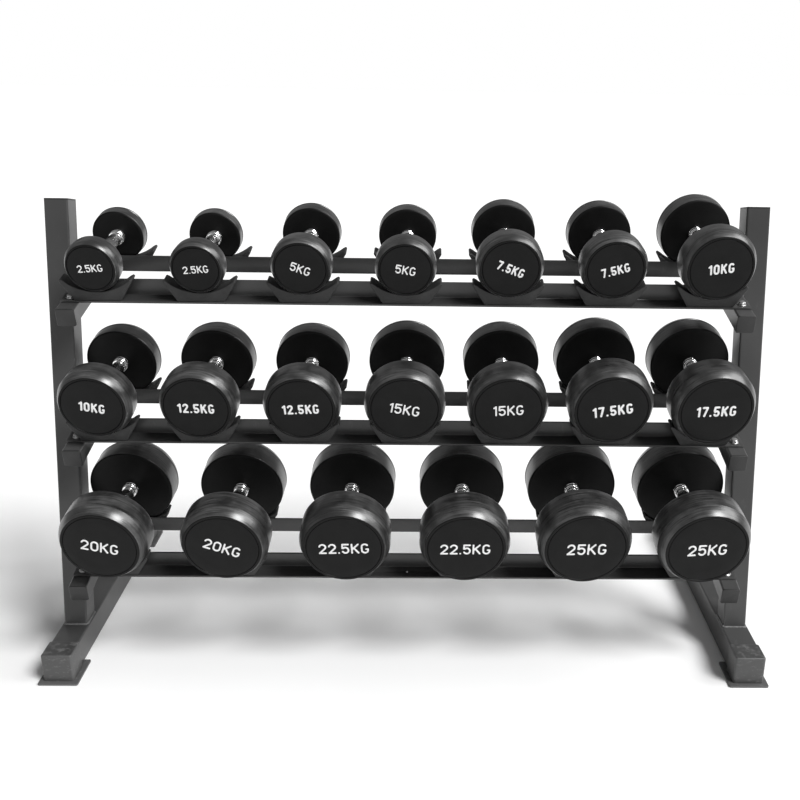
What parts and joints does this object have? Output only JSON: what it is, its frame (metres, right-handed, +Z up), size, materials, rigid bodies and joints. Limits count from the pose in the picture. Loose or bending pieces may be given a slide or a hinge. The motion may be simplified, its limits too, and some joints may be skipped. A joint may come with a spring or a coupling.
{
  "type": "dumbbell rack",
  "caption": "Three-tier saddle rack with leaning uprights and sloping arms, holding a graduated set of round rubber dumbbells with chrome handles.",
  "frame": {"origin": "on the floor, in the middle of the rack's length and depth", "axes": "+X along the rack to the viewer's right, +Y from the front to the back, +Z up"},
  "size_m": [1.563, 0.719, 1.0016],
  "materials": {
    "frame_paint": "satin grey powder coat",
    "rail_paint": "satin grey powder coat on folded sheet",
    "saddle_plastic": "grained moulded plastic",
    "cap_plastic": "moulded plastic plug",
    "foot_plastic": "moulded rubbery plastic",
    "zinc_steel": "bright zinc plate",
    "black_rubber": "smooth moulded rubber with a scuffed band",
    "chrome": "chrome with a knurled grip"
  },
  "bodies": {
    "rack": {"arm_end_caps": "cap_plastic", "bottom_front_rail": "rail_paint", "bottom_rear_rail": "rail_paint", "bottom_saddles": "saddle_plastic", "foot_caps": "foot_plastic", "left_arms": "frame_paint", "left_base_tube": "frame_paint", "left_upright": "frame_paint", "middle_front_rail": "rail_paint", "middle_rear_rail": "rail_paint", "middle_saddles": "saddle_plastic", "rail_bolts": "zinc_steel", "right_arms": "frame_paint", "right_base_tube": "frame_paint", "right_upright": "frame_paint", "saddle_screws": "zinc_steel", "top_front_rail": "rail_paint", "top_rear_rail": "rail_paint", "top_saddles": "saddle_plastic", "upright_caps": "cap_plastic"},
    "bottom_1_20kg": {"bottom_1_20kg_heads": "black_rubber", "bottom_1_20kg_handle": "chrome"},
    "bottom_2_20kg": {"bottom_2_20kg_heads": "black_rubber", "bottom_2_20kg_handle": "chrome"},
    "bottom_3_22_5kg": {"bottom_3_22_5kg_heads": "black_rubber", "bottom_3_22_5kg_handle": "chrome"},
    "bottom_4_22_5kg": {"bottom_4_22_5kg_heads": "black_rubber", "bottom_4_22_5kg_handle": "chrome"},
    "bottom_5_25kg": {"bottom_5_25kg_heads": "black_rubber", "bottom_5_25kg_handle": "chrome"},
    "bottom_6_25kg": {"bottom_6_25kg_heads": "black_rubber", "bottom_6_25kg_handle": "chrome"},
    "middle_1_10kg": {"middle_1_10kg_heads": "black_rubber", "middle_1_10kg_handle": "chrome"},
    "middle_2_12_5kg": {"middle_2_12_5kg_heads": "black_rubber", "middle_2_12_5kg_handle": "chrome"},
    "middle_3_12_5kg": {"middle_3_12_5kg_heads": "black_rubber", "middle_3_12_5kg_handle": "chrome"},
    "middle_4_15kg": {"middle_4_15kg_heads": "black_rubber", "middle_4_15kg_handle": "chrome"},
    "middle_5_15kg": {"middle_5_15kg_heads": "black_rubber", "middle_5_15kg_handle": "chrome"},
    "middle_6_17_5kg": {"middle_6_17_5kg_heads": "black_rubber", "middle_6_17_5kg_handle": "chrome"},
    "middle_7_17_5kg": {"middle_7_17_5kg_heads": "black_rubber", "middle_7_17_5kg_handle": "chrome"},
    "top_1_2_5kg": {"top_1_2_5kg_heads": "black_rubber", "top_1_2_5kg_handle": "chrome"},
    "top_2_2_5kg": {"top_2_2_5kg_heads": "black_rubber", "top_2_2_5kg_handle": "chrome"},
    "top_3_5kg": {"top_3_5kg_heads": "black_rubber", "top_3_5kg_handle": "chrome"},
    "top_4_5kg": {"top_4_5kg_heads": "black_rubber", "top_4_5kg_handle": "chrome"},
    "top_5_7_5kg": {"top_5_7_5kg_heads": "black_rubber", "top_5_7_5kg_handle": "chrome"},
    "top_6_7_5kg": {"top_6_7_5kg_heads": "black_rubber", "top_6_7_5kg_handle": "chrome"},
    "top_7_10kg": {"top_7_10kg_heads": "black_rubber", "top_7_10kg_handle": "chrome"}
  },
  "joints": [
    {"name": "bottom_1_20kg_lift", "type": "slide", "parent": "rack", "child": "bottom_1_20kg", "axis": [0, -0.2079, 0.9781], "range_m": [0, 0.03]},
    {"name": "bottom_2_20kg_lift", "type": "slide", "parent": "rack", "child": "bottom_2_20kg", "axis": [0, -0.2079, 0.9781], "range_m": [0, 0.12]},
    {"name": "bottom_3_22_5kg_lift", "type": "slide", "parent": "rack", "child": "bottom_3_22_5kg", "axis": [0, -0.2079, 0.9781], "range_m": [0, 0.12]},
    {"name": "bottom_4_22_5kg_lift", "type": "slide", "parent": "rack", "child": "bottom_4_22_5kg", "axis": [0, -0.2079, 0.9781], "range_m": [0, 0.12]},
    {"name": "bottom_5_25kg_lift", "type": "slide", "parent": "rack", "child": "bottom_5_25kg", "axis": [0, -0.2079, 0.9781], "range_m": [0, 0.12]},
    {"name": "bottom_6_25kg_lift", "type": "slide", "parent": "rack", "child": "bottom_6_25kg", "axis": [0, -0.2079, 0.9781], "range_m": [0, 0.03]},
    {"name": "middle_1_10kg_lift", "type": "slide", "parent": "rack", "child": "middle_1_10kg", "axis": [0, -0.2079, 0.9781], "range_m": [0, 0.05]},
    {"name": "middle_2_12_5kg_lift", "type": "slide", "parent": "rack", "child": "middle_2_12_5kg", "axis": [0, -0.2079, 0.9781], "range_m": [0, 0.12]},
    {"name": "middle_3_12_5kg_lift", "type": "slide", "parent": "rack", "child": "middle_3_12_5kg", "axis": [0, -0.2079, 0.9781], "range_m": [0, 0.12]},
    {"name": "middle_4_15kg_lift", "type": "slide", "parent": "rack", "child": "middle_4_15kg", "axis": [0, -0.2079, 0.9781], "range_m": [0, 0.12]},
    {"name": "middle_5_15kg_lift", "type": "slide", "parent": "rack", "child": "middle_5_15kg", "axis": [0, -0.2079, 0.9781], "range_m": [0, 0.12]},
    {"name": "middle_6_17_5kg_lift", "type": "slide", "parent": "rack", "child": "middle_6_17_5kg", "axis": [0, -0.2079, 0.9781], "range_m": [0, 0.12]},
    {"name": "middle_7_17_5kg_lift", "type": "slide", "parent": "rack", "child": "middle_7_17_5kg", "axis": [0, -0.2079, 0.9781], "range_m": [0, 0.05]},
    {"name": "top_1_2_5kg_lift", "type": "slide", "parent": "rack", "child": "top_1_2_5kg", "axis": [0, -0.2079, 0.9781], "range_m": [0, 0.3]},
    {"name": "top_2_2_5kg_lift", "type": "slide", "parent": "rack", "child": "top_2_2_5kg", "axis": [0, -0.2079, 0.9781], "range_m": [0, 0.3]},
    {"name": "top_3_5kg_lift", "type": "slide", "parent": "rack", "child": "top_3_5kg", "axis": [0, -0.2079, 0.9781], "range_m": [0, 0.3]},
    {"name": "top_4_5kg_lift", "type": "slide", "parent": "rack", "child": "top_4_5kg", "axis": [0, -0.2079, 0.9781], "range_m": [0, 0.3]},
    {"name": "top_5_7_5kg_lift", "type": "slide", "parent": "rack", "child": "top_5_7_5kg", "axis": [0, -0.2079, 0.9781], "range_m": [0, 0.3]},
    {"name": "top_6_7_5kg_lift", "type": "slide", "parent": "rack", "child": "top_6_7_5kg", "axis": [0, -0.2079, 0.9781], "range_m": [0, 0.3]},
    {"name": "top_7_10kg_lift", "type": "slide", "parent": "rack", "child": "top_7_10kg", "axis": [0, -0.2079, 0.9781], "range_m": [0, 0.3]}
  ]
}
